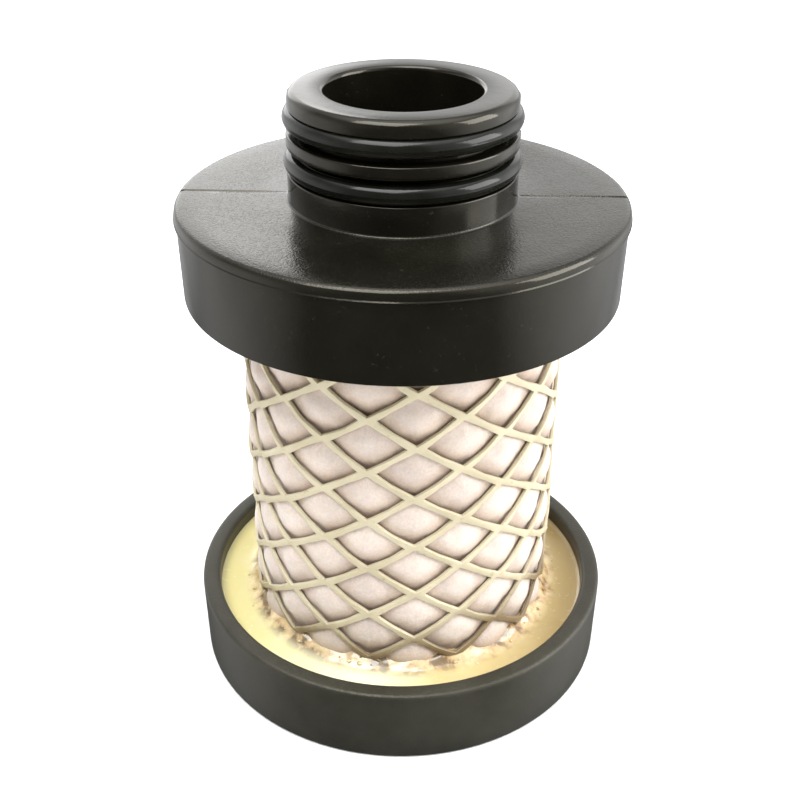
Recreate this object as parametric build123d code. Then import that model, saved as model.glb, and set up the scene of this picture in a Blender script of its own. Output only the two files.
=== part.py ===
"""Potted silencer cartridge for compressed-air exhaust, in millimetres.

Two moulded end caps are bonded with resin to a pack of rolled layers: a perforated core, glass-fibre
wraps between two scrims, a felt sock, and an expanded-metal guard round the outside. Air enters down
the neck of the upper cap, passes outwards through the layers and leaves through the guard.

The origin is the centre of the lower cap's underside, and +Z points up the neck.
"""

from build123d import *
import math
import os

# Heights
LOWER_CAP_HEIGHT = 12.25
CAP_GAP = 50.35  # open length of guard between the two caps
SKIRT_HEIGHT = 13.1
NECK_HEIGHT = 15.0

# Lower cap, a shallow cup
CUP_RIM_RADIUS = 32.6
CUP_DRAFT = 0.2  # the wall leans in by this much at its foot
CUP_WALL = 2.8
CUP_FLOOR = 2.5
CUP_FOOT_FILLET = 0.6
CUP_RIM_FILLET = 0.7

# Upper cap, a flange with a skirt
FLANGE_RADIUS = 31.4
FLANGE_PLATE = 3.0
SKIRT_DRAFT = 0.2
SKIRT_WALL = 2.8
BEAD_HEIGHT = 1.6  # raised band round the flange's top edge
BEAD_STEP = 0.22
FLANGE_EDGE_FILLET = 0.9
SMALL_FILLET = 0.3

# Neck and its O-ring grooves, measured down from the neck's top
BORE_RADIUS = 10.65
LIP_RADIUS = 15.6
LAND_RADIUS = 15.9
LIP_WIDTH = 2.2
GROOVE_WIDTH = 3.45
LAND_WIDTH = 1.8
LIP_EDGE_FILLET = 1.1
BORE_EDGE_FILLET = 0.7
RING_SECTION = 2.62
RING_PROUD = 0.4  # how far each ring stands out of the land
RING_GAP = 0.02

# Collar and boss that locate the core, inside the caps
COLLAR_WALL = 1.6
COLLAR_DEPTH = 6.0
BOSS_HEIGHT = 3.5
CORE_CLEARANCE = 0.1

# Rolled layers, by thickness
GUARD_RADIUS = 23.75
GUARD_SHEET = 0.9
FELT_THICKNESS = 2.0
SCRIM_THICKNESS = 0.3
PREFILTER_THICKNESS = 2.5
CORE_SHEET = 0.8

# Resin
BOND_LINE = 0.8  # resin between a cap and the ends of the layers
LOWER_RESIN_DEPTH = 6.95
UPPER_RESIN_DEPTH = 6.0

# Expanded metal: diamonds with their long way round the tube
DIAMONDS_ROUND = 11
DIAMOND_HEIGHT = 8.35
STRAND_WIDTH = 0.95
FIRST_COLUMN_ANGLE = -85.3
FIRST_BOND_Z = 23.47

# Perforated core
CORE_HOLE_RADIUS = 1.75
CORE_HOLES_ROUND = 12
CORE_ROW_PITCH = 6.0
CORE_PLAIN_END = 8.5  # unperforated length at each end

# Levels worked out from the heights
skirt_foot_z = LOWER_CAP_HEIGHT + CAP_GAP
flange_z = skirt_foot_z + SKIRT_HEIGHT
neck_top_z = flange_z + NECK_HEIGHT
ceiling_z = flange_z - FLANGE_PLATE
collar_foot_z = ceiling_z - COLLAR_DEPTH
pack_foot_z = CUP_FLOOR + BOND_LINE
pack_top_z = ceiling_z - BOND_LINE
lower_resin_z = CUP_FLOOR + LOWER_RESIN_DEPTH
upper_resin_z = ceiling_z - UPPER_RESIN_DEPTH

# Grooves and rings worked out from the neck
upper_groove_top_z = neck_top_z - LIP_WIDTH
upper_groove_foot_z = upper_groove_top_z - GROOVE_WIDTH
lower_groove_top_z = upper_groove_foot_z - LAND_WIDTH
lower_groove_foot_z = lower_groove_top_z - GROOVE_WIDTH
ring_radius = RING_SECTION / 2
ring_centre_radius = LAND_RADIUS + RING_PROUD - ring_radius
groove_floor_radius = ring_centre_radius - ring_radius - RING_GAP
upper_ring_z = upper_groove_top_z - ring_radius - RING_GAP
lower_ring_z = lower_groove_foot_z + ring_radius + RING_GAP

# Radii of the layers, each one seated on its neighbour
collar_radius = BORE_RADIUS + COLLAR_WALL
core_inner = collar_radius + CORE_CLEARANCE
core_outer = core_inner + CORE_SHEET
inner_scrim_outer = core_outer + SCRIM_THICKNESS
prefilter_outer = inner_scrim_outer + PREFILTER_THICKNESS
guard_inner = GUARD_RADIUS - GUARD_SHEET
felt_inner = guard_inner - FELT_THICKNESS
outer_scrim_inner = felt_inner - SCRIM_THICKNESS
skirt_inner = FLANGE_RADIUS - SKIRT_WALL
cup_inner = CUP_RIM_RADIUS - CUP_WALL


def turned(corners):
    """A solid turned about Z from corners given as (radius, height, fillet)."""
    points = [(radius, 0, height) for radius, height, fillet in corners]
    fillets = [fillet for radius, height, fillet in corners]
    outline = FilletPolyline(*points, radius=fillets, close=True)
    return revolve(make_face(outline), axis=Axis.Z)


def tube(inner, outer):
    """One rolled layer, as long as the pack."""
    corners = [
        (inner, pack_foot_z, 0),
        (outer, pack_foot_z, 0),
        (outer, pack_top_z, 0),
        (inner, pack_top_z, 0),
    ]
    return turned(corners)


def upper_end_cap():
    """Neck, flange, skirt and inner collar, moulded in one piece."""
    bead_radius = FLANGE_RADIUS + BEAD_STEP
    bead_foot_z = flange_z - BEAD_HEIGHT
    corners = [
        (BORE_RADIUS, neck_top_z, BORE_EDGE_FILLET),
        (LIP_RADIUS, neck_top_z, LIP_EDGE_FILLET),
        (LIP_RADIUS, upper_groove_top_z, 0),
        (groove_floor_radius, upper_groove_top_z, 0),
        (groove_floor_radius, upper_groove_foot_z, 0),
        (LAND_RADIUS, upper_groove_foot_z, 0),
        (LAND_RADIUS, lower_groove_top_z, 0),
        (groove_floor_radius, lower_groove_top_z, 0),
        (groove_floor_radius, lower_groove_foot_z, 0),
        (LAND_RADIUS, lower_groove_foot_z, 0),
        (LAND_RADIUS, flange_z, SMALL_FILLET),
        (bead_radius, flange_z, FLANGE_EDGE_FILLET),
        (bead_radius, bead_foot_z, 0),
        (FLANGE_RADIUS, bead_foot_z, 0),
        (FLANGE_RADIUS - SKIRT_DRAFT, skirt_foot_z, SMALL_FILLET),
        (skirt_inner, skirt_foot_z, SMALL_FILLET),
        (skirt_inner, ceiling_z, 0),
        (collar_radius, ceiling_z, 0),
        (collar_radius, collar_foot_z, SMALL_FILLET),
        (BORE_RADIUS, collar_foot_z, SMALL_FILLET),
    ]
    return turned(corners)


def lower_end_cap():
    """A closed cup with a low boss in the middle that centres the core."""
    foot_radius = CUP_RIM_RADIUS - CUP_DRAFT
    boss_z = CUP_FLOOR + BOSS_HEIGHT
    corners = [
        (0, 0, 0),
        (foot_radius, 0, CUP_FOOT_FILLET),
        (CUP_RIM_RADIUS, LOWER_CAP_HEIGHT, CUP_RIM_FILLET),
        (cup_inner, LOWER_CAP_HEIGHT, CUP_RIM_FILLET),
        (cup_inner, CUP_FLOOR, 0),
        (collar_radius, CUP_FLOOR, 0),
        (collar_radius, boss_z, SMALL_FILLET),
        (0, boss_z, 0),
    ]
    return turned(corners)


def o_ring(height):
    """A rubber ring stretched into a groove of the neck."""
    return Pos(0, 0, height) * Torus(ring_centre_radius, ring_radius)


def lower_potting():
    """Resin under the layers and round the guard's foot, inside the cup."""
    corners = [
        (collar_radius, CUP_FLOOR, 0),
        (cup_inner, CUP_FLOOR, 0),
        (cup_inner, lower_resin_z, 0),
        (GUARD_RADIUS, lower_resin_z, 0),
        (GUARD_RADIUS, pack_foot_z, 0),
        (collar_radius, pack_foot_z, 0),
    ]
    return turned(corners)


def upper_potting():
    """Resin over the layers and round the guard's top, inside the skirt."""
    corners = [
        (collar_radius, ceiling_z, 0),
        (skirt_inner, ceiling_z, 0),
        (skirt_inner, upper_resin_z, 0),
        (GUARD_RADIUS, upper_resin_z, 0),
        (GUARD_RADIUS, pack_top_z, 0),
        (collar_radius, pack_top_z, 0),
    ]
    return turned(corners)


def diamond_cutter():
    """A prism in the shape of one opening of the expanded metal, standing out along +X."""
    half_width = math.pi * GUARD_RADIUS / DIAMONDS_ROUND
    half_height = DIAMOND_HEIGHT / 2
    slope = math.atan2(half_height, half_width)
    across = half_width - STRAND_WIDTH / 2 / math.sin(slope)
    up = half_height - STRAND_WIDTH / 2 / math.cos(slope)
    outline = Polyline((0, across, 0), (0, 0, up), (0, -across, 0), (0, 0, -up), close=True)
    flat = Pos(guard_inner - GUARD_SHEET, 0, 0) * make_face(outline)
    return extrude(flat, amount=3 * GUARD_SHEET, dir=(1, 0, 0))


def outer_guard():
    """A tube of expanded metal, its diamonds staggered from column to column."""
    cutter = diamond_cutter()
    half_turn = 180 / DIAMONDS_ROUND
    half_height = DIAMOND_HEIGHT / 2
    lowest = math.floor((pack_foot_z - FIRST_BOND_Z) / half_height) - 1
    highest = math.ceil((pack_top_z - FIRST_BOND_Z) / half_height) + 1
    cutters = []
    for row in range(lowest, highest + 1):
        stagger = 0 if row % 2 else half_turn
        height = FIRST_BOND_Z + row * half_height
        for column in range(DIAMONDS_ROUND):
            turn = FIRST_COLUMN_ANGLE + stagger + column * 2 * half_turn
            cutters.append(Rot(0, 0, turn) * Pos(0, 0, height) * cutter)
    return tube(guard_inner, GUARD_RADIUS) - cutters


def inner_core():
    """A tube rolled from perforated sheet, plain where the caps hold it."""
    lowest = pack_foot_z + CORE_PLAIN_END
    rows = math.floor((pack_top_z - CORE_PLAIN_END - lowest) / CORE_ROW_PITCH) + 1
    turn = 360 / CORE_HOLES_ROUND
    from_axis = (Align.CENTER, Align.CENTER, Align.MIN)
    drill = Rot(0, 90, 0) * Cylinder(CORE_HOLE_RADIUS, 2 * core_outer, align=from_axis)
    drills = []
    for row in range(rows):
        stagger = turn / 2 if row % 2 else 0
        height = lowest + row * CORE_ROW_PITCH
        for column in range(CORE_HOLES_ROUND):
            drills.append(Rot(0, 0, column * turn + stagger) * Pos(0, 0, height) * drill)
    return tube(core_inner, core_outer) - drills


NODES = {
    "upper_end_cap": upper_end_cap(),
    "upper_o_ring": o_ring(upper_ring_z),
    "lower_o_ring": o_ring(lower_ring_z),
    "upper_potting": upper_potting(),
    "inner_core": inner_core(),
    "inner_scrim": tube(core_outer, inner_scrim_outer),
    "prefilter_wrap": tube(inner_scrim_outer, prefilter_outer),
    "media_wrap": tube(prefilter_outer, outer_scrim_inner),
    "outer_scrim": tube(outer_scrim_inner, felt_inner),
    "felt_sock": tube(felt_inner, guard_inner),
    "outer_guard": outer_guard(),
    "lower_potting": lower_potting(),
    "lower_end_cap": lower_end_cap(),
}

os.makedirs("parts", exist_ok=True)
for name, piece in NODES.items():
    export_step(piece, f"parts/{name}.step")
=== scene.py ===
import math
import random

import bmesh
import bpy
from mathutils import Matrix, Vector


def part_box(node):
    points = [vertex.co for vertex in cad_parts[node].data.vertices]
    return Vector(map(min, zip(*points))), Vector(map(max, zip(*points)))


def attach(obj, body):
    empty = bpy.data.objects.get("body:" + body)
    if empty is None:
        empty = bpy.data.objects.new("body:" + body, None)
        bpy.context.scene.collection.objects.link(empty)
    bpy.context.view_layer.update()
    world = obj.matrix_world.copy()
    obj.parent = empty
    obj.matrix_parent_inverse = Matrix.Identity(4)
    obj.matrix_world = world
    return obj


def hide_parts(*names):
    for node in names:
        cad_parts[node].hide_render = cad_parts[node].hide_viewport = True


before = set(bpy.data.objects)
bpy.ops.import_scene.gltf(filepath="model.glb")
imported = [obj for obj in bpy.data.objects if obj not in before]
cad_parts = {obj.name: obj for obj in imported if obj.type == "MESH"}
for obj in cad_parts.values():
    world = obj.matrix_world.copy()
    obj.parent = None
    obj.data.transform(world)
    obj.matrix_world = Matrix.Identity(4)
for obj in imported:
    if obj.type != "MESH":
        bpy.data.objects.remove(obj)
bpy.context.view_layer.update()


# ---------------------------------------------------------------------------
# Lower end cap: a shallow black cup of glass-filled nylon, injection moulded.
# Its wall leans in slightly towards the foot so that it leaves the mould, and
# a low boss in the middle centres the core before the resin is poured.
# ---------------------------------------------------------------------------

MM = 0.001
ROUND = 192  # faces round a turned piece
BEVEL_STEPS = 4  # faces across a rounded corner
TOUCH = 0.01 * MM  # corners nearer than this are at the same place

cup_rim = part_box("lower_end_cap")[1].z
cup_radius = 32.6 * MM
cup_draft = 0.2 * MM
cup_wall = 2.8 * MM
cup_foot_radius = cup_radius - cup_draft
cup_inside = cup_radius - cup_wall
cup_floor = 2.5 * MM
boss_radius = 12.25 * MM
boss_top = 6.0 * MM
plug_radius = 2.0 * MM  # the ring round the middle that closes each turned face
base_ring = 16.0 * MM  # divides the underside
wall_ring = (cup_foot_radius + 0.07 * MM, 4.0 * MM)  # divides the wall


def deselect_everything():
    if bpy.context.object and bpy.context.object.mode != "OBJECT":
        bpy.ops.object.mode_set(mode="OBJECT")
    bpy.ops.object.select_all(action="DESELECT")


def pick(piece, kind, test):
    """In edit mode, selects the vertices, edges or faces whose corners all pass the test."""
    bpy.ops.mesh.select_mode(type=kind)
    bpy.ops.mesh.select_all(action="DESELECT")
    shape = bmesh.from_edit_mesh(piece.data)
    parts = {"VERT": shape.verts, "EDGE": shape.edges, "FACE": shape.faces}[kind]
    for part in parts:
        corners = [part] if kind == "VERT" else part.verts
        if all(test(corner.co) for corner in corners):
            part.select_set(True)
    shape.select_flush_mode()
    bmesh.update_edit_mesh(piece.data)


def turn_piece(name, outline, closed=False):
    """Extrudes a circle ring by ring through an outline of (radius, height) pairs."""
    deselect_everything()
    radius, height = outline[0]
    bpy.ops.mesh.primitive_circle_add(vertices=ROUND, radius=radius, location=(0, 0, height))
    piece = bpy.context.object
    piece.name = name
    bpy.ops.object.transform_apply(location=True, rotation=True, scale=True)
    bpy.ops.object.mode_set(mode="EDIT")
    bpy.ops.mesh.select_mode(type="EDGE")
    bpy.ops.mesh.select_all(action="SELECT")
    steps = outline[1:] + outline[:1] if closed else outline[1:]
    for next_radius, next_height in steps:
        lift = {"value": (0, 0, next_height - height)}
        bpy.ops.mesh.extrude_edges_move(TRANSFORM_OT_translate=lift)
        grow = next_radius / radius
        bpy.ops.transform.resize(value=(grow, grow, 1), center_override=(0, 0, 0))
        radius, height = next_radius, next_height
    bpy.ops.mesh.select_all(action="SELECT")
    bpy.ops.mesh.remove_doubles(threshold=1e-6)
    bpy.ops.mesh.select_all(action="SELECT")
    bpy.ops.mesh.normals_make_consistent(inside=False)
    return piece


def round_rings(piece, corners):
    """Bevels whole rings of edges, given as (radius, height, width)."""
    near = 2 * TOUCH
    for radius, height, width in corners:
        pick(
            piece,
            "EDGE",
            lambda co: abs(co.xy.length - radius) < near and abs(co.z - height) < near,
        )
        bpy.ops.mesh.bevel(offset=width, segments=BEVEL_STEPS, affect="EDGES")


def close_rings(piece, heights):
    """Fills the open ring round the axis at each height, and turns all faces outwards."""
    for height in heights:
        pick(
            piece,
            "EDGE",
            lambda co: co.xy.length < plug_radius + TOUCH and abs(co.z - height) < TOUCH,
        )
        bpy.ops.mesh.edge_face_add()
    bpy.ops.mesh.select_all(action="SELECT")
    bpy.ops.mesh.normals_make_consistent(inside=False)


def finish_piece(piece, material, crease=32):
    """Shades a piece smooth up to the crease angle and hands it to the frame."""
    deselect_everything()
    piece.select_set(True)
    bpy.context.view_layer.objects.active = piece
    bpy.ops.object.shade_smooth_by_angle(angle=math.radians(crease))
    piece.data.materials.clear()
    piece.data.materials.append(material)
    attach(piece, "root")


def add_node(tree, kind, **settings):
    """Adds a shader node, with its sockets and settings given by name."""
    node = tree.nodes.new(kind)
    for name, value in settings.items():
        if name in node.inputs:
            node.inputs[name].default_value = value
        else:
            setattr(node, name, value)
    return node


def add_ramp(tree, source, stops):
    """A colour ramp of (position, colour) stops, fed by a socket."""
    ramp = tree.nodes.new("ShaderNodeValToRGB")
    elements = ramp.color_ramp.elements
    while len(elements) < len(stops):
        elements.new(0.5)
    for element, (position, colour) in zip(elements, stops):
        element.position = position
        element.color = (*colour, 1)
    tree.links.new(source, ramp.inputs["Fac"])
    return ramp.outputs["Color"]


def add_noise(tree, place, scale, detail=3.0, roughness=0.6):
    noise = tree.nodes.new("ShaderNodeTexNoise")
    noise.inputs["Scale"].default_value = scale
    noise.inputs["Detail"].default_value = detail
    noise.inputs["Roughness"].default_value = roughness
    tree.links.new(place, noise.inputs["Vector"])
    return noise.outputs["Fac"]


def add_mix(tree, how, factor, first, second):
    """Mixes two colour sockets. The factor is a number or a socket."""
    mix = tree.nodes.new("ShaderNodeMix")
    mix.data_type = "RGBA"
    mix.blend_type = how
    if isinstance(factor, (int, float)):
        mix.inputs["Factor"].default_value = factor
    else:
        tree.links.new(factor, mix.inputs["Factor"])
    for socket, value in ((mix.inputs[6], first), (mix.inputs[7], second)):
        if isinstance(value, tuple):
            socket.default_value = (*value, 1)
        else:
            tree.links.new(value, socket)
    return mix.outputs[2]


def add_bump(tree, height, strength, distance, under=None):
    bump = tree.nodes.new("ShaderNodeBump")
    bump.inputs["Strength"].default_value = strength
    bump.inputs["Distance"].default_value = distance
    tree.links.new(height, bump.inputs["Height"])
    if under:
        tree.links.new(under, bump.inputs["Normal"])
    return bump.outputs["Normal"]


def add_range(tree, source, low, high, to_low, to_high):
    spread = tree.nodes.new("ShaderNodeMapRange")
    spread.inputs["From Min"].default_value = low
    spread.inputs["From Max"].default_value = high
    spread.inputs["To Min"].default_value = to_low
    spread.inputs["To Max"].default_value = to_high
    tree.links.new(source, spread.inputs["Value"])
    return spread.outputs["Result"]


def start_material(name):
    """A new node material, with its tree, its shader and its Object coordinates."""
    material = bpy.data.materials.new(name)
    material.use_nodes = True
    tree = material.node_tree
    place = tree.nodes.new("ShaderNodeTexCoord").outputs["Object"]
    return material, tree, tree.nodes["Principled BSDF"], place


def moulded_nylon(name, colour, worn, roughness, grain, grainy_level):
    """Black nylon with cloudy gloss, specks of dust, and a fine grain on the face at one level."""
    level_depth = 0.25 * MM
    grain_depth = 0.12 * MM
    cloud_depth = 0.3 * MM
    dust_tone = (0.02, 0.02, 0.017)
    material, tree, shader, place = start_material(name)
    clouds = add_noise(tree, place, 90.0, 4.0)
    dust = add_noise(tree, place, 1500.0, 2.0, 0.7)
    tone = add_ramp(tree, clouds, [(0.35, colour), (0.72, worn)])
    specks = add_ramp(tree, dust, [(0.66, (0, 0, 0)), (0.82, dust_tone)])
    tree.links.new(add_mix(tree, "ADD", 1.0, tone, specks), shader.inputs["Base Color"])
    gloss = add_range(tree, clouds, 0.3, 0.7, roughness - 0.04, roughness + 0.06)
    shader.inputs["Specular IOR Level"].default_value = 0.4
    shader.inputs["Specular Tint"].default_value = (1, 0.95, 0.8, 1)
    rise = tree.nodes.new("ShaderNodeSeparateXYZ")
    tree.links.new(place, rise.inputs["Vector"])
    from_level = add_node(tree, "ShaderNodeMath", operation="COMPARE")
    from_level.inputs[1].default_value = grainy_level
    from_level.inputs[2].default_value = level_depth
    tree.links.new(rise.outputs["Z"], from_level.inputs[0])
    depth = add_range(tree, from_level.outputs["Value"], 0.0, 1.0, 0.25, 1.0)
    pits = add_node(tree, "ShaderNodeMath", operation="MULTIPLY")
    tree.links.new(add_noise(tree, place, 3600.0, 1.0), pits.inputs[0])
    tree.links.new(depth, pits.inputs[1])
    sparkle = add_node(tree, "ShaderNodeMath", operation="MULTIPLY_ADD")
    sparkle.inputs[1].default_value = 0.5
    speckle = add_range(tree, pits.outputs["Value"], 0.35, 0.65, -0.1, 0.2)
    tree.links.new(speckle, sparkle.inputs[0])
    tree.links.new(gloss, sparkle.inputs[2])
    tree.links.new(sparkle.outputs["Value"], shader.inputs["Roughness"])
    fine = add_bump(tree, pits.outputs["Value"], grain, grain_depth)
    wavy = add_bump(tree, clouds, 0.2, cloud_depth, fine)
    tree.links.new(wavy, shader.inputs["Normal"])
    return material


cup = turn_piece(
    "lower_cup",
    [
        (plug_radius, 0),
        (base_ring, 0),
        (cup_foot_radius, 0),
        wall_ring,
        (cup_radius, cup_rim),
        (cup_inside, cup_rim),
        (cup_inside, cup_floor),
        (boss_radius, cup_floor),
        (boss_radius, boss_top),
        (plug_radius, boss_top),
    ],
)
round_rings(
    cup,
    [
        (cup_foot_radius, 0, 0.6 * MM),
        (cup_radius, cup_rim, 0.7 * MM),
        (cup_inside, cup_rim, 0.7 * MM),
        (boss_radius, boss_top, 0.3 * MM),
    ],
)
close_rings(cup, (0, boss_top))
cup_nylon = moulded_nylon(
    "cup_nylon",
    colour=(0.02, 0.0195, 0.014),
    worn=(0.032, 0.031, 0.024),
    roughness=0.4,
    grain=0.4,
    grainy_level=cup_rim,
)
finish_piece(cup, cup_nylon)
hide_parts("lower_end_cap")


# ---------------------------------------------------------------------------
# Inner core: a tube rolled from perforated, zinc-plated steel sheet. It stands
# on the cup's boss and carries the layers wrapped round it. It shows only down
# the bore, so the frame's own tube is kept and given a metal finish.
# ---------------------------------------------------------------------------

core_zinc, tree, shader, place = start_material("core_zinc")
shader.inputs["Metallic"].default_value = 1.0
spangle = add_node(tree, "ShaderNodeTexVoronoi", Scale=260.0)
tree.links.new(place, spangle.inputs["Vector"])
zinc_tone = add_ramp(
    tree, spangle.outputs["Distance"], [(0.0, (0.42, 0.43, 0.45)), (1.0, (0.62, 0.62, 0.6))]
)
tree.links.new(zinc_tone, shader.inputs["Base Color"])
rolling = add_noise(tree, place, 600.0, 2.0)
tree.links.new(add_range(tree, rolling, 0.3, 0.7, 0.3, 0.5), shader.inputs["Roughness"])
tree.links.new(add_bump(tree, rolling, 0.2, 0.05 * MM), shader.inputs["Normal"])
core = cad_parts["inner_core"]
core.data.materials.clear()
core.data.materials.append(core_zinc)


# ---------------------------------------------------------------------------
# Scrims and glass-fibre wraps: thin open-weave cloth inside and outside two
# soft rolls of glass fibre, the inner one coarse and the outer one fine. They
# are wound round the core one on another, and the felt and guard hide them.
# ---------------------------------------------------------------------------


def woven_cloth(name, colour, shade, threads):
    """Open plain weave, its threads running round and up the tube."""
    thread_pitch = 0.6 * MM
    material, tree, shader, place = start_material(name)
    around = add_node(tree, "ShaderNodeTexGradient", gradient_type="RADIAL")
    tree.links.new(place, around.inputs["Vector"])
    warp = add_node(tree, "ShaderNodeMath", operation="MULTIPLY")
    warp.inputs[1].default_value = 2 * math.pi * threads
    tree.links.new(around.outputs["Fac"], warp.inputs[0])
    warp_wave = add_node(tree, "ShaderNodeMath", operation="SINE")
    tree.links.new(warp.outputs["Value"], warp_wave.inputs[0])
    height = tree.nodes.new("ShaderNodeSeparateXYZ")
    tree.links.new(place, height.inputs["Vector"])
    weft = add_node(tree, "ShaderNodeMath", operation="MULTIPLY")
    weft.inputs[1].default_value = 2 * math.pi / thread_pitch
    tree.links.new(height.outputs["Z"], weft.inputs[0])
    weft_wave = add_node(tree, "ShaderNodeMath", operation="SINE")
    tree.links.new(weft.outputs["Value"], weft_wave.inputs[0])
    weave = add_node(tree, "ShaderNodeMath", operation="MAXIMUM")
    tree.links.new(warp_wave.outputs["Value"], weave.inputs[0])
    tree.links.new(weft_wave.outputs["Value"], weave.inputs[1])
    tone = add_ramp(tree, weave.outputs["Value"], [(0.0, shade), (0.9, colour)])
    tree.links.new(tone, shader.inputs["Base Color"])
    shader.inputs["Roughness"].default_value = 0.9
    shader.inputs["Sheen Weight"].default_value = 0.2
    tree.links.new(add_bump(tree, weave.outputs["Value"], 0.6, 0.1 * MM), shader.inputs["Normal"])
    return material


def glass_wool(name, colour, shade, fibre_scale):
    """Matted glass fibre, with streaks that lie round the roll."""
    material, tree, shader, place = start_material(name)
    lie = add_node(tree, "ShaderNodeMapping")
    lie.inputs["Scale"].default_value = (1, 1, 6)
    tree.links.new(place, lie.inputs["Vector"])
    fibres = add_noise(tree, lie.outputs["Vector"], fibre_scale, 5.0, 0.75)
    tone = add_ramp(tree, fibres, [(0.3, shade), (0.65, colour)])
    tree.links.new(tone, shader.inputs["Base Color"])
    shader.inputs["Roughness"].default_value = 0.95
    shader.inputs["Sheen Weight"].default_value = 0.4
    tree.links.new(add_bump(tree, fibres, 0.8, 0.2 * MM), shader.inputs["Normal"])
    return material


scrim_cloth = woven_cloth("scrim_cloth", (0.82, 0.8, 0.76), (0.45, 0.43, 0.4), 150)
coarse_glass = glass_wool("coarse_glass", (0.86, 0.82, 0.7), (0.62, 0.56, 0.42), 500.0)
fine_glass = glass_wool("fine_glass", (0.9, 0.9, 0.88), (0.7, 0.7, 0.68), 1100.0)
for layer, cloth in (
    ("inner_scrim", scrim_cloth),
    ("prefilter_wrap", coarse_glass),
    ("media_wrap", fine_glass),
    ("outer_scrim", scrim_cloth),
):
    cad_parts[layer].data.materials.clear()
    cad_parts[layer].data.materials.append(cloth)


# ---------------------------------------------------------------------------
# Felt sock: a seamless sleeve of needled polyester felt, pulled over the wraps
# to drain the oil. The guard is pressed on over it, so the felt swells out
# through every diamond and is nipped in under every strand.
# ---------------------------------------------------------------------------

guard_low, guard_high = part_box("outer_guard")
guard_radius = guard_high.x
guard_sheet = 0.9 * MM
felt_radius = guard_radius - guard_sheet
felt_thickness = 2.0 * MM
felt_inner = felt_radius - felt_thickness
diamonds_round = 11
diamond_width = 2 * math.pi * guard_radius / diamonds_round
diamond_height = 8.35 * MM
first_column = math.radians(4.7)  # from the front, towards +X
first_bond = 23.47 * MM
cells_per_diamond = 16
sim_scale = 30  # cloth is solved at the size of a cushion, then shrunk back
nip = 0.25 * MM  # how far the strands press the felt in
nip_radius = felt_radius - nip
held_reach = 0.4 * MM  # the felt is held fast this close to a strand
settling_frames = 20
shade_above = 3.2 * MM  # how far above a strand the felt carries painted shade
shade_below = 0.9 * MM


def strand_distances(co):
    """How far a point lies above the two strands below it, then how far below the two above it."""
    across = (math.atan2(co.x, -co.y) - first_column) * guard_radius / diamond_width
    up = (co.z - first_bond) / diamond_height
    rising = (up - across) % 1
    falling = (up + across) % 1
    per_lane = 1 / math.hypot(1 / diamond_width, 1 / diamond_height)
    return [lane * per_lane for lane in (rising, falling, 1 - rising, 1 - falling)]


deselect_everything()
felt_columns = diamonds_round * cells_per_diamond
row_height = diamond_height / cells_per_diamond
rows_below = math.floor((first_bond - guard_low.z) / row_height)
rows_above = math.floor((guard_high.z - first_bond) / row_height)
felt_bottom = first_bond - rows_below * row_height
felt_top = first_bond + rows_above * row_height
quarter = math.radians(90)
bpy.ops.mesh.primitive_cylinder_add(
    vertices=felt_columns,
    radius=nip_radius * sim_scale,
    depth=(felt_top - felt_bottom) * sim_scale,
    end_fill_type="NOTHING",
    location=(0, 0, (felt_top + felt_bottom) / 2 * sim_scale),
    rotation=(0, 0, first_column % (2 * math.pi / felt_columns) - 2 * quarter),
)
felt = bpy.context.object
felt.name = "felt_sleeve"
bpy.ops.object.transform_apply(location=True, rotation=True, scale=True)
bpy.ops.object.mode_set(mode="EDIT")
bpy.ops.mesh.select_mode(type="EDGE")
bpy.ops.mesh.select_all(action="DESELECT")
shape = bmesh.from_edit_mesh(felt.data)
for edge in shape.edges:
    if abs(edge.verts[0].co.z - edge.verts[1].co.z) > row_height * sim_scale:
        edge.select_set(True)
bmesh.update_edit_mesh(felt.data)
bpy.ops.mesh.subdivide(number_cuts=rows_below + rows_above - 1)
bpy.ops.object.mode_set(mode="OBJECT")

held = felt.vertex_groups.new(name="held")
for corner in felt.data.vertices:
    place_now = corner.co / sim_scale
    at_an_end = not felt_bottom + row_height < place_now.z < felt_top - row_height
    if at_an_end or min(strand_distances(place_now)) < held_reach:
        held.add([corner.index], 1.0, "REPLACE")

bpy.ops.object.modifier_add(type="CLOTH")
cloth = felt.modifiers["Cloth"]
cloth.settings.vertex_group_mass = "held"
cloth.settings.quality = 5
cloth.settings.mass = 0.3
cloth.settings.tension_stiffness = 15
cloth.settings.compression_stiffness = 15
cloth.settings.bending_stiffness = 0.5
cloth.settings.use_pressure = True
cloth.settings.uniform_pressure_force = 12.0
cloth.settings.effector_weights.gravity = 0
cloth.settings.shrink_min = -0.07
cloth.point_cache.frame_start = 1
cloth.point_cache.frame_end = settling_frames
for step in range(1, settling_frames + 1):
    bpy.context.scene.frame_set(step)
bpy.ops.object.modifier_apply(modifier="Cloth")
bpy.context.scene.frame_set(1)

bpy.ops.transform.resize(value=(1 / sim_scale,) * 3, center_override=(0, 0, 0))
bpy.ops.object.transform_apply(location=True, rotation=True, scale=True)
# Painted shade: each felt point is marked darker the nearer it lies above a strand, and in a thin
# line just under one, standing in for the shade where the felt dips behind the strands.
shadow = felt.data.attributes.new("shadow", "FLOAT", "POINT")
for corner, mark in zip(felt.data.vertices, shadow.data):
    rising, falling, *over = strand_distances(corner.co)
    light = 1.0
    for reach in (rising, falling):
        light *= min(1, 0.1 + reach / shade_above)
    mark.value = max(1 - light, 0.8 - min(over) / shade_below)

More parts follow.
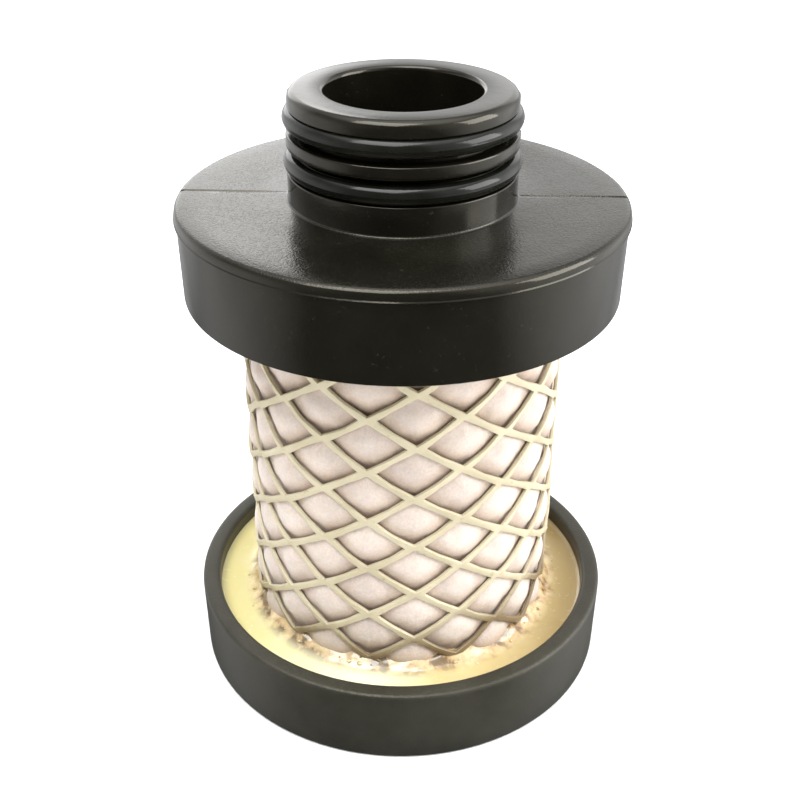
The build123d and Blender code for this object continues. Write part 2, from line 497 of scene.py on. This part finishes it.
wick_climb = 5.0 * MM  # how unevenly the resin has soaked up the felt
wick_heights = (11.5 * MM, 15.0 * MM)
felt_wool, tree, shader, place = start_material("felt_wool")
fuzz = add_noise(tree, place, 2600.0, 4.0, 0.8)
blotches = add_noise(tree, place, 120.0, 3.0)
pink = add_ramp(tree, blotches, [(0.3, (0.6, 0.51, 0.455)), (0.7, (0.74, 0.65, 0.575))])
fluff = add_ramp(tree, fuzz, [(0.3, (0.82, 0.8, 0.78)), (0.7, (1, 1, 1))])
wool = add_mix(tree, "MULTIPLY", 1.0, pink, fluff)
rise = tree.nodes.new("ShaderNodeSeparateXYZ")
tree.links.new(place, rise.inputs["Vector"])
wick = add_noise(tree, place, 160.0, 3.0)
wick_line = add_node(tree, "ShaderNodeMath", operation="MULTIPLY_ADD")
wick_line.inputs[1].default_value = wick_climb
tree.links.new(wick, wick_line.inputs[0])
tree.links.new(rise.outputs["Z"], wick_line.inputs[2])
soaked = add_range(tree, wick_line.outputs["Value"], *wick_heights, 1.0, 0.0)
stained = add_mix(tree, "MULTIPLY", soaked, wool, (0.84, 0.68, 0.5))
# Painted shade: the mark multiplies the felt's colour down towards brown near the strands.
strand_shade_mark = add_node(tree, "ShaderNodeAttribute", attribute_name="shadow")
painted_shade_tone = add_ramp(
    tree,
    strand_shade_mark.outputs["Fac"],
    [(0.0, (1, 1, 1)), (0.5, (0.8, 0.73, 0.65)), (0.92, (0.48, 0.4, 0.32))],
)
tree.links.new(add_mix(tree, "MULTIPLY", 1.0, stained, painted_shade_tone), shader.inputs["Base Color"])
shader.inputs["Roughness"].default_value = 0.85
shader.inputs["Sheen Weight"].default_value = 0.35
shader.inputs["Sheen Roughness"].default_value = 0.5
shader.inputs["Subsurface Weight"].default_value = 0.15
shader.inputs["Subsurface Scale"].default_value = 0.8 * MM
tree.links.new(add_bump(tree, fuzz, 0.5, 0.12 * MM), shader.inputs["Normal"])

bpy.ops.object.mode_set(mode="EDIT")
for level in (felt_bottom, felt_top):
    pick(felt, "EDGE", lambda co: abs(co.z - level) < TOUCH)
    shrink = felt_inner / nip_radius
    bpy.ops.mesh.extrude_edges_move()
    bpy.ops.transform.resize(value=(shrink, shrink, 1), center_override=(0, 0, 0))
pick(felt, "EDGE", lambda co: co.xy.length < felt_inner + 0.1 * MM)
bpy.ops.mesh.bridge_edge_loops()
bpy.ops.mesh.select_all(action="SELECT")
bpy.ops.mesh.normals_make_consistent(inside=False)
finish_piece(felt, felt_wool, crease=60)
bpy.ops.object.modifier_add(type="SUBSURF")
felt.modifiers["Subdivision"].levels = 1
felt.modifiers["Subdivision"].render_levels = 1
bpy.ops.object.modifier_apply(modifier="Subdivision")
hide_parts("felt_sock")


# ---------------------------------------------------------------------------
# Outer guard: steel sheet slit and stretched into diamonds, coated cream, then
# rolled into a tube and pressed on over the felt. Each strand keeps the twist
# that the stretching gave it, its upper edge standing out.
# ---------------------------------------------------------------------------

sheet_gauge = 0.5 * MM
strand_width = 0.82 * MM
bond_half_width = 1.25 * MM
bond_half_height = 0.55 * MM
tilt = 0.24 * MM  # how far a strand's upper edge stands out, and its lower edge in
strand_cuts = 3
edge_bevel = 0.1 * MM
mid_radius = guard_radius - guard_sheet / 2
cell_width = 2 * math.pi * mid_radius / diamonds_round
slope = math.atan2(diamond_height, cell_width)
edge_across = strand_width / 2 * math.sin(slope)
edge_up = strand_width / 2 * math.cos(slope)
arm_x = cell_width / 4
arm_z = diamond_height / 4

deselect_everything()
bpy.ops.mesh.primitive_plane_add(size=2, rotation=(quarter, 0, 0))
guard = bpy.context.object
guard.name = "guard_mesh"
bpy.ops.object.transform_apply(location=True, rotation=True, scale=True)
bpy.ops.object.mode_set(mode="EDIT")


def move_corner(piece, start, end):
    """Moves the one vertex that is at start to end."""
    pick(piece, "VERT", lambda co: (co - Vector(start)).length < TOUCH)
    bpy.ops.transform.translate(value=Vector(end) - Vector(start))


bond_top = Vector((0, -tilt, bond_half_height))
bond_side = Vector((bond_half_width, 0, 0))
move_corner(guard, (1, 0, 1), bond_top)
move_corner(guard, (-1, 0, -1), -bond_top)
move_corner(guard, (1, 0, -1), bond_side)
move_corner(guard, (-1, 0, 1), -bond_side)


def on_bond(co):
    return abs(co.x) < 1.01 * bond_half_width and abs(co.z) < 1.01 * bond_half_height


for side in (1, -1):
    for rise_way in (1, -1):
        pick(
            guard,
            "EDGE",
            lambda co: on_bond(co) and co.x * side > -TOUCH and co.z * rise_way > -TOUCH,
        )
        reach = Vector((side * arm_x, 0, rise_way * arm_z))
        bpy.ops.mesh.extrude_edges_move(TRANSFORM_OT_translate={"value": reach})
        edge_step = Vector((-side * edge_across, -rise_way * tilt / 2, rise_way * edge_up))
        move_corner(guard, rise_way * bond_top + reach, reach + edge_step)
        move_corner(guard, side * bond_side + reach, reach - edge_step)

bpy.ops.mesh.select_mode(type="EDGE")
bpy.ops.mesh.select_all(action="DESELECT")
shape = bmesh.from_edit_mesh(guard.data)
for edge in shape.edges:
    if on_bond(edge.verts[0].co) != on_bond(edge.verts[1].co):
        edge.select_set(True)
bmesh.update_edit_mesh(guard.data)
bpy.ops.mesh.subdivide(number_cuts=strand_cuts)

rows_under = math.ceil((first_bond - guard_low.z) / diamond_height)
rows = rows_under + math.ceil((guard_high.z - first_bond) / diamond_height) + 1
first_cell = (first_column * mid_radius, 0, first_bond - rows_under * diamond_height)
bpy.ops.mesh.select_all(action="SELECT")
bpy.ops.transform.translate(value=first_cell)
half_cell = (cell_width / 2, 0, diamond_height / 2)
bpy.ops.mesh.duplicate_move(TRANSFORM_OT_translate={"value": half_cell})
bpy.ops.object.mode_set(mode="OBJECT")


def apply_modifier(piece, kind, **settings):
    """Adds a modifier with these settings and applies it."""
    bpy.context.view_layer.objects.active = piece
    bpy.ops.object.modifier_add(type=kind)
    modifier = piece.modifiers[-1]
    for name, value in settings.items():
        setattr(modifier, name, value)
    bpy.ops.object.modifier_apply(modifier=modifier.name)


for count, step in ((diamonds_round, (cell_width, 0, 0)), (rows, (0, 0, diamond_height))):
    apply_modifier(
        guard,
        "ARRAY",
        count=count,
        use_relative_offset=False,
        use_constant_offset=True,
        constant_offset_displace=step,
        use_merge_vertices=True,
        merge_threshold=TOUCH,
    )
bpy.ops.object.mode_set(mode="EDIT")
for level, clear_above in ((guard_low.z, False), (guard_high.z, True)):
    bpy.ops.mesh.select_all(action="SELECT")
    bpy.ops.mesh.bisect(
        plane_co=(0, 0, level),
        plane_no=(0, 0, 1),
        clear_inner=not clear_above,
        clear_outer=clear_above,
    )
bpy.ops.object.mode_set(mode="OBJECT")
sheet_length = guard.dimensions.x  # a little over once round, as the slanting ends overlap
apply_modifier(
    guard,
    "SIMPLE_DEFORM",
    deform_method="BEND",
    deform_axis="Z",
    angle=sheet_length / mid_radius,
)
bpy.ops.object.mode_set(mode="EDIT")
bpy.ops.mesh.select_all(action="SELECT")
bpy.ops.transform.translate(value=(0, -mid_radius, 0))
bpy.ops.mesh.remove_doubles(threshold=2 * TOUCH)
bpy.ops.mesh.select_all(action="SELECT")
bpy.ops.mesh.normals_make_consistent(inside=False)
bpy.ops.object.mode_set(mode="OBJECT")

dents = 0.9 * MM  # the guard and the felt under it are dented together
unevenness = bpy.data.textures.new("unevenness", "CLOUDS")
unevenness.noise_scale = 14 * MM
unevenness.cloud_type = "COLOR"
for piece in (guard, felt):
    apply_modifier(
        piece,
        "DISPLACE",
        texture=unevenness,
        texture_coords="LOCAL",
        direction="RGB_TO_XYZ",
        mid_level=0.5,
        strength=dents,
    )
apply_modifier(guard, "SOLIDIFY", thickness=sheet_gauge, offset=0, use_even_offset=True)
apply_modifier(
    guard,
    "BEVEL",
    width=edge_bevel,
    segments=2,
    limit_method="ANGLE",
    angle_limit=math.radians(50),
)

wick_climb = 9.0 * MM  # how unevenly the resin has run up the strands
wick_heights = (17.0 * MM, 23.0 * MM)
wick_lean = 0.15  # the resin ran higher on the side towards +X
cream_coat, tree, shader, place = start_material("cream_coat")
wear = add_noise(tree, place, 700.0, 4.0, 0.7)
patches = add_noise(tree, place, 90.0, 3.0)
cream = add_ramp(tree, patches, [(0.3, (0.5, 0.44, 0.29)), (0.7, (0.62, 0.56, 0.4))])
scuffs = add_ramp(tree, wear, [(0.62, (1, 1, 1)), (0.78, (0.55, 0.5, 0.4))])
coated = add_mix(tree, "MULTIPLY", 0.8, cream, scuffs)
rise = tree.nodes.new("ShaderNodeSeparateXYZ")
tree.links.new(place, rise.inputs["Vector"])
wick = add_noise(tree, place, 140.0, 3.0)
wick_line = add_node(tree, "ShaderNodeMath", operation="MULTIPLY_ADD")
wick_line.inputs[1].default_value = wick_climb
tree.links.new(wick, wick_line.inputs[0])
tree.links.new(rise.outputs["Z"], wick_line.inputs[2])
tilted_line = add_node(tree, "ShaderNodeMath", operation="MULTIPLY_ADD")
tilted_line.inputs[1].default_value = -wick_lean
tree.links.new(rise.outputs["X"], tilted_line.inputs[0])
tree.links.new(wick_line.outputs["Value"], tilted_line.inputs[2])
soaked = add_range(tree, tilted_line.outputs["Value"], *wick_heights, 1.0, 0.0)
browned = add_mix(tree, "MULTIPLY", soaked, coated, (0.4, 0.33, 0.26))
tree.links.new(browned, shader.inputs["Base Color"])
tree.links.new(add_range(tree, wear, 0.3, 0.7, 0.34, 0.52), shader.inputs["Roughness"])
tree.links.new(add_bump(tree, wear, 0.25, 0.06 * MM), shader.inputs["Normal"])
finish_piece(guard, cream_coat, crease=40)
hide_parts("outer_guard")


# ---------------------------------------------------------------------------
# Lower potting: amber resin poured into the cup round the foot of the guard
# and left to set. It creeps up the strands and the cup's wall, and traps air
# bubbles where it soaks into the felt.
# ---------------------------------------------------------------------------

resin_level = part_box("lower_potting")[1].z
resin_foot = 4.0 * MM
resin_fit = 0.005 * MM  # keeps the resin's side clear of the cap's wall
resin_outside = cup_inside - resin_fit
resin_inside = felt_radius - 0.35 * MM
pool_surface = (  # radius and rise over the resin's level, in millimetres, from the wall inwards
    (29.55, 0.1),
    (29.1, 0),
    (28.4, -0.04),
    (27.4, -0.05),
    (26.4, -0.02),
    (25.6, 0.05),
    (25.0, 0.16),
    (24.5, 0.34),
    (24.1, 0.6),
    (23.7, 0.95),
    (23.2, 1.3),
)
lower_resin = turn_piece(
    "lower_resin",
    [
        (resin_inside, resin_foot),
        (resin_outside, resin_foot),
        (resin_outside, resin_level + 0.35 * MM),
        *((radius * MM, resin_level + rise * MM) for radius, rise in pool_surface),
        (resin_inside, resin_level + 1.5 * MM),
    ],
    closed=True,
)
bpy.ops.object.mode_set(mode="OBJECT")
creep_edge = 25.6 * MM  # outside this radius the resin has set level
creep_width = 2.4 * MM
creep_height = 1.6 * MM
ripple_height = 0.22 * MM
surface_depth = 1 * MM
side_clearance = 0.1 * MM
creep = lower_resin.vertex_groups.new(name="creep")
free = lower_resin.vertex_groups.new(name="free")
for corner in lower_resin.data.vertices:
    if corner.co.z < resin_level - surface_depth:
        continue
    out = corner.co.xy.length
    creep.add([corner.index], min(1, max(0, (creep_edge - out) / creep_width)), "REPLACE")
    if out < resin_outside - side_clearance:
        free.add([corner.index], 1.0, "REPLACE")
creeping = bpy.data.textures.new("creeping", "CLOUDS")
creeping.noise_scale = 2.6 * MM
ripples = bpy.data.textures.new("ripples", "CLOUDS")
ripples.noise_scale = 4.5 * MM
apply_modifier(
    lower_resin,
    "DISPLACE",
    texture=creeping,
    texture_coords="LOCAL",
    direction="Z",
    mid_level=0.45,
    strength=creep_height,
    vertex_group="creep",
)
apply_modifier(
    lower_resin,
    "DISPLACE",
    texture=ripples,
    texture_coords="LOCAL",
    direction="Z",
    mid_level=0.5,
    strength=ripple_height,
    vertex_group="free",
)

sunk_shade_edge = (24.1 * MM, 25.9 * MM)  # the painted shade of the half-sunk strands fades out between these radii
amber, tree, shader, place = start_material("amber_resin")
flow = add_noise(tree, place, 110.0, 4.0, 0.6)
sideways = tree.nodes.new("ShaderNodeSeparateXYZ")
tree.links.new(place, sideways.inputs["Vector"])
lean = add_range(tree, sideways.outputs["X"], -30 * MM, 30 * MM, -0.1, 0.9)
drift = add_node(tree, "ShaderNodeMath", operation="MULTIPLY_ADD")
drift.inputs[1].default_value = 0.25
tree.links.new(flow, drift.inputs[0])
tree.links.new(lean, drift.inputs[2])
honey = add_ramp(
    tree,
    drift.outputs["Value"],
    [
        (0.08, (0.68, 0.61, 0.27)),
        (0.42, (0.8, 0.78, 0.56)),
        (0.66, (0.64, 0.52, 0.26)),
        (0.95, (0.42, 0.31, 0.13)),
    ],
)
flat_place = add_node(tree, "ShaderNodeVectorMath", operation="MULTIPLY")
flat_place.inputs[1].default_value = (1, 1, 0)
tree.links.new(place, flat_place.inputs[0])
reach = add_node(tree, "ShaderNodeVectorMath", operation="LENGTH")
tree.links.new(flat_place.outputs["Vector"], reach.inputs[0])
at_mesh = add_range(tree, reach.outputs["Value"], *sunk_shade_edge, 0.85, 0.0)
# Painted shade: dark brown patches in the resin round the mesh stand in for the shade of the
# strands half sunk in it.
sunk_shade_patches = add_noise(tree, place, 330.0, 3.0, 0.6)
sunk_strand_shade = add_ramp(
    tree,
    sunk_shade_patches,
    [(0.4, (0.13, 0.07, 0.035)), (0.47, (0.5, 0.32, 0.15)), (0.62, (0.72, 0.58, 0.33))],
)
resin_with_sunk_shade = add_mix(tree, "MIX", at_mesh, honey, sunk_strand_shade)
tree.links.new(resin_with_sunk_shade, shader.inputs["Base Color"])
shader.inputs["Subsurface Weight"].default_value = 0.35
shader.inputs["Subsurface Radius"].default_value = (1.0, 0.6, 0.2)
shader.inputs["Subsurface Scale"].default_value = 1.5 * MM
shader.inputs["Coat Weight"].default_value = 0.6
shader.inputs["Coat Roughness"].default_value = 0.05
froth = add_noise(tree, place, 900.0, 3.0)
tree.links.new(add_range(tree, froth, 0.35, 0.7, 0.1, 0.3), shader.inputs["Roughness"])
tree.links.new(add_bump(tree, flow, 0.35, 0.4 * MM), shader.inputs["Normal"])
finish_piece(lower_resin, amber, crease=60)
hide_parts("lower_potting")

bubble_dice = random.Random(11)
bubble_count = 70
bubble_ring = 23.9 * MM  # the nearest that a bubble lies to the axis
bubble_spread = 0.9  # in millimetres
bubble_radii = (0.12, 0.16, 0.2, 0.28, 0.4)  # in millimetres
bank_radius = 24.9 * MM  # inside this radius the bubbles lie on the resin's rising bank
bank_slope = 0.9
bubbles = []
for _ in range(bubble_count):
    deselect_everything()
    out = bubble_ring + abs(bubble_dice.gauss(0, bubble_spread)) * MM
    turn = bubble_dice.uniform(0, 2 * math.pi)
    size = bubble_dice.choice(bubble_radii) * MM
    bank = max(0, bank_radius - out) * bank_slope
    height = resin_level + bank + bubble_dice.uniform(-0.1, 0.12) * MM
    bpy.ops.mesh.primitive_ico_sphere_add(
        subdivisions=2,
        radius=size,
        location=(out * math.cos(turn), out * math.sin(turn), height),
        scale=(1, bubble_dice.uniform(0.8, 1.2), bubble_dice.uniform(0.6, 0.9)),
    )
    bubbles.append(bpy.context.object)
deselect_everything()
for bubble in bubbles:
    bubble.select_set(True)
bpy.context.view_layer.objects.active = bubbles[0]
bpy.ops.object.transform_apply(location=True, rotation=True, scale=True)
bpy.ops.object.join()
froth_piece = bpy.context.object
froth_piece.name = "resin_bubbles"
bpy.ops.object.transform_apply(location=True, rotation=True, scale=True)
finish_piece(froth_piece, amber, crease=80)


# ---------------------------------------------------------------------------
# Upper potting: the same resin, poured with the upper cap upside down, so it
# fills the space round the guard's top inside the skirt and has set level.
# ---------------------------------------------------------------------------

upper_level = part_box("upper_potting")[0].z
upper_back = 70.5 * MM
upper_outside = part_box("upper_potting")[1].x - resin_fit
hanging_surface = (  # radius and height over the upper resin's level, in millimetres
    (28.2, -0.08),
    (27.4, 0),
    (26.2, 0.03),
    (25.2, -0.1),
    (24.5, -0.35),
    (24.0, -0.7),
    (23.4, -1.1),
)
upper_resin = turn_piece(
    "upper_resin",
    [
        (resin_inside, upper_back),
        (upper_outside, upper_back),
        (upper_outside, upper_level - 0.3 * MM),
        *((radius * MM, upper_level + rise * MM) for radius, rise in hanging_surface),
        (resin_inside, upper_level - 1.3 * MM),
    ],
    closed=True,
)
bpy.ops.object.mode_set(mode="OBJECT")
sag_height = 0.8 * MM
loose = upper_resin.vertex_groups.new(name="loose")
for corner in upper_resin.data.vertices:
    near_surface = corner.co.z < upper_level + surface_depth
    if near_surface and corner.co.xy.length < upper_outside - side_clearance:
        loose.add([corner.index], 1.0, "REPLACE")
apply_modifier(
    upper_resin,
    "DISPLACE",
    texture=creeping,
    texture_coords="LOCAL",
    direction="Z",
    mid_level=0.5,
    strength=sag_height,
    vertex_group="loose",
)
finish_piece(upper_resin, amber, crease=60)
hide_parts("upper_potting")


# ---------------------------------------------------------------------------
# Upper end cap: neck, flange and skirt in one nylon moulding. The two halves
# of the mould meet in a plane through the axis, which leaves a fine groove
# across the flange and a thin flash up each side of the neck.
# ---------------------------------------------------------------------------

cap_low, cap_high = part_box("upper_end_cap")
neck_top = cap_high.z
neck_height = 15.0 * MM
flange_top = neck_top - neck_height
skirt_foot = cap_low.z
bore_radius = 10.65 * MM
lip_radius = 15.6 * MM
land_radius = 15.9 * MM
groove_radius = 13.66 * MM
lip_width = 2.2 * MM
groove_width = 3.45 * MM
land_width = 1.8 * MM
groove_one_top = neck_top - lip_width
groove_one_foot = groove_one_top - groove_width
groove_two_top = groove_one_foot - land_width
groove_two_foot = groove_two_top - groove_width
flange_rings = (22.0 * MM, 28.0 * MM)  # divide the flange's top
bead_radius = cap_high.x
bead_height = 1.6 * MM
bead_step = 0.22 * MM
bead_foot = flange_top - bead_height
lip_proud = 0.12 * MM  # a fine lip left where the mould's ring meets its cavity
skirt_draft = 0.2 * MM
skirt_wall = 2.8 * MM
plate = 3.0 * MM
collar_depth = 6.0 * MM
skirt_radius = bead_radius - bead_step
skirt_foot_radius = skirt_radius - skirt_draft
skirt_inside = skirt_radius - skirt_wall
ceiling = flange_top - plate
collar_foot = ceiling - collar_depth

cap = turn_piece(
    "upper_cap",
    [
        (bore_radius, neck_top),
        (lip_radius, neck_top),
        (lip_radius, groove_one_top),
        (groove_radius, groove_one_top),
        (groove_radius, groove_one_foot),
        (land_radius, groove_one_foot),
        (land_radius, groove_two_top),
        (groove_radius, groove_two_top),
        (groove_radius, groove_two_foot),
        (land_radius, groove_two_foot),
        (land_radius, flange_top),
        *((radius, flange_top) for radius in flange_rings),
        (bead_radius, flange_top),
        (bead_radius, bead_foot + 0.25 * MM),
        (bead_radius + lip_proud, bead_foot + 0.1 * MM),
        (bead_radius + lip_proud, bead_foot),
        (skirt_radius, bead_foot - 0.2 * MM),
        (skirt_foot_radius, skirt_foot),
        (skirt_inside, skirt_foot),
        (skirt_inside, ceiling),
        (boss_radius, ceiling),
        (boss_radius, collar_foot),
        (bore_radius, collar_foot),
    ],
    closed=True,
)
round_rings(
    cap,
    [
        (bore_radius, neck_top, 0.6 * MM),
        (lip_radius, neck_top, 1.1 * MM),
        (lip_radius, groove_one_top, 0.2 * MM),
        (land_radius, groove_one_foot, 0.3 * MM),
        (land_radius, groove_two_top, 0.3 * MM),
        (land_radius, groove_two_foot, 0.2 * MM),
        (land_radius, flange_top, 0.35 * MM),
        (bead_radius, flange_top, 0.9 * MM),
        (skirt_foot_radius, skirt_foot, 0.3 * MM),
        (skirt_inside, skirt_foot, 0.3 * MM),
        (boss_radius, collar_foot, 0.3 * MM),
        (bore_radius, collar_foot, 0.3 * MM),
    ],
)

parting_groove = 0.4 * MM  # depth of the groove across the flange
parting_half_width = 0.35 * MM
edge_notch = 0.16 * MM
neck_flash = 0.1 * MM
parting_turn = math.radians(-1.9)
across_parting = Vector((-math.sin(parting_turn), math.cos(parting_turn), 0))
parting_middle = Vector((0, 0.37 * MM, 0))
for offset in (-parting_half_width, 0.0, parting_half_width):
    bpy.ops.mesh.select_all(action="SELECT")
    bpy.ops.mesh.bisect(
        plane_co=parting_middle + offset * across_parting, plane_no=across_parting
    )


def on_parting(co):
    return abs((co - parting_middle).dot(across_parting)) < TOUCH


pick(
    cap,
    "VERT",
    lambda co: on_parting(co)
    and co.z > flange_top - 0.5 * MM
    and co.xy.length > land_radius + 0.5 * MM,
)
bpy.ops.transform.translate(value=(0, 0, -parting_groove))
for side in (1, -1):
    pick(
        cap,
        "VERT",
        lambda co: on_parting(co) and co.x * side > 30.9 * MM and co.z > bead_foot - 0.05 * MM,
    )
    bpy.ops.transform.translate(value=(-side * edge_notch, 0, 0))
    pick(
        cap,
        "VERT",
        lambda co: on_parting(co)
        and 15.3 * MM < co.x * side < 16.0 * MM
        and flange_top + 0.5 * MM < co.z < neck_top - 0.5 * MM,
    )
    bpy.ops.transform.translate(value=(side * neck_flash, 0, 0))
bpy.ops.object.mode_set(mode="OBJECT")
cap_nylon = moulded_nylon(
    "cap_nylon",
    colour=(0.0045, 0.004, 0.0025),
    worn=(0.008, 0.0075, 0.005),
    roughness=0.16,
    grain=0.26,
    grainy_level=flange_top,
)
finish_piece(cap, cap_nylon)
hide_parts("upper_end_cap")


# ---------------------------------------------------------------------------
# O-rings: two nitrile rings, moulded in halves and so with a faint flash line
# round the outside, stretched over the neck into its grooves and greased. The
# upper one rides at the top of its groove and the lower one at the foot.
# ---------------------------------------------------------------------------

nitrile, tree, shader, place = start_material("nitrile")
bloom = add_noise(tree, place, 260.0, 3.0)
tree.links.new(
    add_ramp(tree, bloom, [(0.3, (0.005, 0.005, 0.004)), (0.75, (0.01, 0.01, 0.008))]),
    shader.inputs["Base Color"],
)
tree.links.new(add_range(tree, bloom, 0.3, 0.7, 0.1, 0.16), shader.inputs["Roughness"])
shader.inputs["Specular IOR Level"].default_value = 0.26
skin = add_noise(tree, place, 1800.0, 2.0)
tree.links.new(add_bump(tree, skin, 0.15, 0.05 * MM), shader.inputs["Normal"])

flash_reach = 0.004 * MM  # the outermost loop of edges, where the mould's halves meet
flash_width = 0.06 * MM
flash_growth = 1.0015
for node in ("upper_o_ring", "lower_o_ring"):
    ring_low, ring_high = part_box(node)
    section = (ring_high.z - ring_low.z) / 2
    deselect_everything()
    bpy.ops.mesh.primitive_torus_add(
        major_segments=ROUND,
        minor_segments=28,
        major_radius=ring_high.x - section,
        minor_radius=section,
        location=(0, 0, (ring_low.z + ring_high.z) / 2),
    )
    ring = bpy.context.object
    ring.name = node.replace("o_ring", "neck_seal")
    bpy.ops.object.transform_apply(location=True, rotation=True, scale=True)
    bpy.ops.object.mode_set(mode="EDIT")
    pick(ring, "EDGE", lambda co: co.xy.length > ring_high.x - flash_reach)
    bpy.ops.mesh.bevel(offset=flash_width, segments=2, affect="EDGES")
    pick(ring, "VERT", lambda co: co.xy.length > ring_high.x - flash_reach)
    bpy.ops.transform.resize(value=(flash_growth, flash_growth, 1), center_override=(0, 0, 0))
    bpy.ops.object.mode_set(mode="OBJECT")
    finish_piece(ring, nitrile, crease=60)
    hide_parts(node)


# ---------------------------------------------------------------------------
# Stage: a plain pale floor, soft studio light from both sides and behind, and
# the camera above the front of the cartridge.
# ---------------------------------------------------------------------------

deselect_everything()
bpy.ops.mesh.primitive_plane_add(size=6.0, location=(0, 0, 0))
floor = bpy.context.object
floor.name = "floor"
floor_paint, tree, shader, place = start_material("floor_paint")
shader.inputs["Base Color"].default_value = (0.85, 0.85, 0.85, 1)
shader.inputs["Roughness"].default_value = 0.9
floor.data.materials.append(floor_paint)
floor.visible_glossy = False

world = bpy.data.worlds.new("studio")
world.use_nodes = True
sky = world.node_tree
towards = sky.nodes.new("ShaderNodeTexCoord").outputs["Generated"]
dim = 0.15  # light from every other direction
glow = None
for direction, edge, strength in (
    ((0, 0, 1), (0.7, 0.97), 2.6),
    ((-0.5, 0.83, 0.2), (0.72, 0.95), 1.0),
    ((-0.3, 0.9, 0.25), (0.952, 0.975), 1.6),
    ((-0.12, 0.89, 0.44), (0.995, 0.999), 2.6),
    ((0.6, 0.8, 0.2), (0.6, 0.95), 0.6),
    ((0.33, 0.9, 0.28), (0.945, 0.98), 0.9),
    ((-1, 0.1, -0.25), (0.7, 0.95), 0.75),
    ((1, 0.1, -0.25), (0.7, 0.95), 0.75),
    ((0.95, -0.1, 0.3), (0.5, 0.95), 1.3),
    ((-0.95, -0.1, 0.3), (0.5, 0.95), 0.4),
):
    facing = add_node(sky, "ShaderNodeVectorMath", operation="DOT_PRODUCT")
    facing.inputs[1].default_value = Vector(direction).normalized()
    sky.links.new(towards, facing.inputs[0])
    lobe = add_range(sky, facing.outputs["Value"], *edge, 0.0, strength)
    together = add_node(sky, "ShaderNodeMath", operation="ADD")
    together.inputs[1].default_value = dim
    sky.links.new(lobe, together.inputs[0])
    if glow:
        sky.links.new(glow, together.inputs[1])
    glow = together.outputs["Value"]
sky.nodes["Background"].inputs["Color"].default_value = (1, 1, 1, 1)
sky.links.new(glow, sky.nodes["Background"].inputs["Strength"])
bpy.context.scene.world = world

look_at = Vector((0, 0, 42 * MM))


def add_light(name, place, size, power):
    bpy.ops.object.light_add(type="AREA", location=place)
    lamp = bpy.context.object
    lamp.name = name
    lamp.data.shape = "SQUARE"
    lamp.data.size = size
    lamp.data.energy = power
    lamp.rotation_euler = (look_at - Vector(place)).to_track_quat("-Z", "Y").to_euler()


add_light("right_softbox", (0.75, -0.1, 0.4), size=0.55, power=6.5)
add_light("top_softbox", (-0.2, -0.3, 1.0), size=0.7, power=10)

camera_place = (-0.00027, -0.15533, 0.13410)
camera_target = Vector((-0.00027, 0, 0.04244))
camera_roll = math.radians(0.227)
bpy.ops.object.camera_add(location=camera_place)
camera = bpy.context.object
aim = camera_target - camera.location
camera.rotation_euler = aim.to_track_quat("-Z", "Y").to_euler()
camera.rotation_euler.rotate_axis("Z", camera_roll)
camera.data.lens = 52.83
camera.data.sensor_width = 36
camera.data.clip_start = 0.005
bpy.context.scene.camera = camera
bpy.context.scene.view_settings.view_transform = "Standard"
